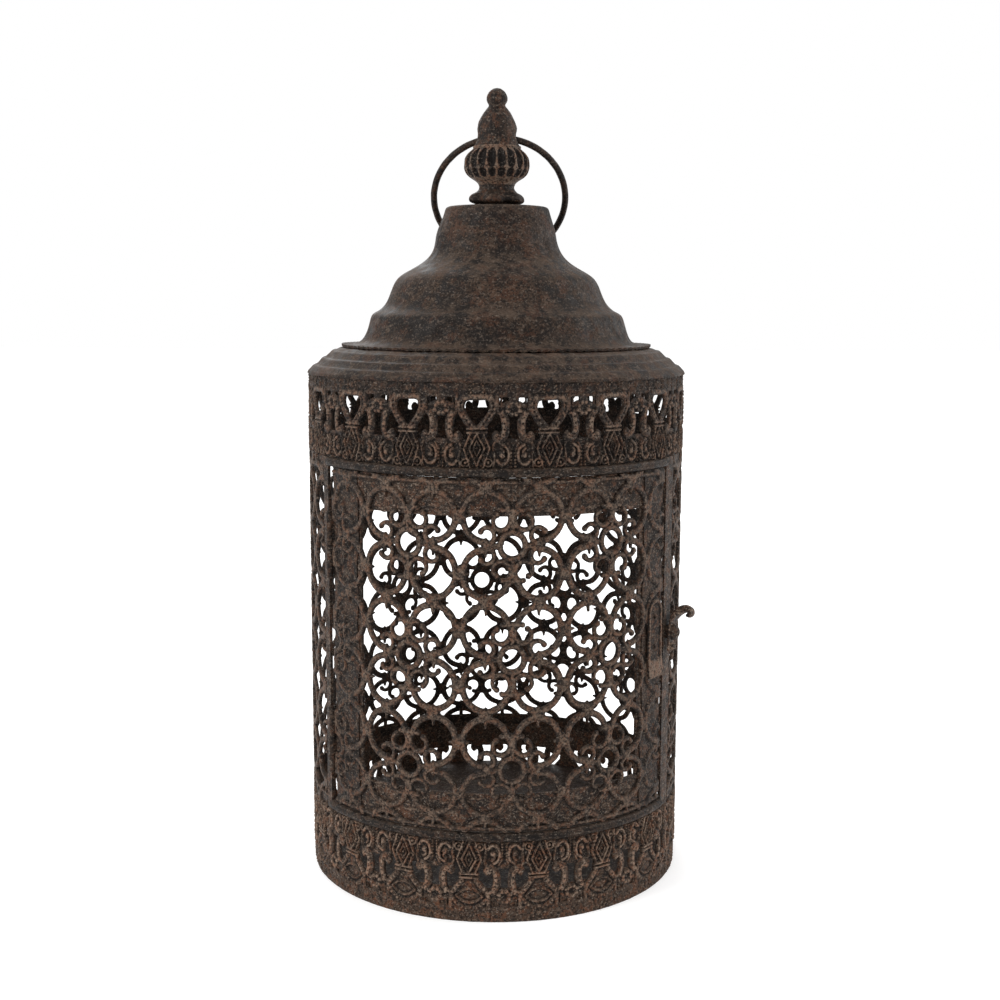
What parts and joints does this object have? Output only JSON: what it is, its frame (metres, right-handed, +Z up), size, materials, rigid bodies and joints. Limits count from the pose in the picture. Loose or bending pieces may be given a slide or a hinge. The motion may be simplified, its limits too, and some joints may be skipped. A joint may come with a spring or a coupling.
{
  "type": "lantern",
  "caption": "Cylindrical pierced-metal lantern with a hinged door, a turn latch, a stepped dome roof, a cast finial and a hanging ring.",
  "frame": {"origin": "centre of the base, on the surface that the lantern stands on", "axes": "+Z up, -Y out through the door, +X to the right of a person who faces the door"},
  "size_m": [0.164, 0.1618, 0.332],
  "materials": {
    "pierced_iron": "dark brown antiqued paint, rubbed to rust brown and dusty tan on the relief",
    "plain_iron": "dark brown antiqued paint, mottled and lightly pitted",
    "roof_iron": "dark brown antiqued paint, mottled, rubbed lighter on the steps",
    "floor_iron": "dusty dark brown paint",
    "finial_iron": "cast, dark brown with rust in the hollows",
    "ring_wire": "dark brown wire, slightly shiny",
    "latch_iron": "dark brown, worn to grey metal on its edges",
    "hinge_iron": "dark brown, worn",
    "fastener_iron": "dark grey brown"
  },
  "bodies": {
    "drum": {"bottom_frieze": "pierced_iron", "top_frieze": "pierced_iron", "lattice_left": "pierced_iron", "lattice_rear": "pierced_iron", "lattice_right": "pierced_iron", "left_jamb": "plain_iron", "right_jamb": "plain_iron", "door_sill": "plain_iron", "door_lintel": "plain_iron", "roof_shoulder": "roof_iron", "roof_dome": "roof_iron", "base_pan": "floor_iron", "finial": "finial_iron", "lower_hinge_jamb_leaf": "hinge_iron", "lower_hinge_pin": "hinge_iron", "upper_hinge_jamb_leaf": "hinge_iron", "upper_hinge_pin": "hinge_iron", "finial_stud": "fastener_iron", "finial_washer": "fastener_iron", "finial_nut": "fastener_iron", "jamb_rivets": "fastener_iron", "latch_washer": "fastener_iron", "latch_pivot": "fastener_iron"},
    "door": {"door_lattice": "pierced_iron", "door_top_rail": "plain_iron", "door_bottom_rail": "plain_iron", "door_hinge_stile": "plain_iron", "door_latch_stile": "plain_iron", "lower_hinge_door_leaf": "hinge_iron", "upper_hinge_door_leaf": "hinge_iron", "door_hinge_rivets": "fastener_iron", "strike_plate": "latch_iron", "strike_rivets": "fastener_iron"},
    "latch": {"latch_lever": "latch_iron"},
    "ring": {"hanging_ring": "ring_wire"}
  },
  "joints": [
    {"name": "door_swing", "type": "hinge", "parent": "drum", "child": "door", "pos_m": [-0.06712, -0.04426, 0.1072], "axis": [0, 0, -1], "range_deg": [0, 115]},
    {"name": "latch_turn", "type": "hinge", "parent": "drum", "child": "latch", "pos_m": [0.07336, -0.03642, 0.1079], "axis": [-0.8957, 0.4446, 0], "range_deg": [-16, 64]},
    {"name": "ring_swing", "type": "hinge", "parent": "drum", "child": "ring", "pos_m": [0, 0, 0.3115], "axis": [1, 0, 0], "range_deg": [0, 295]}
  ]
}
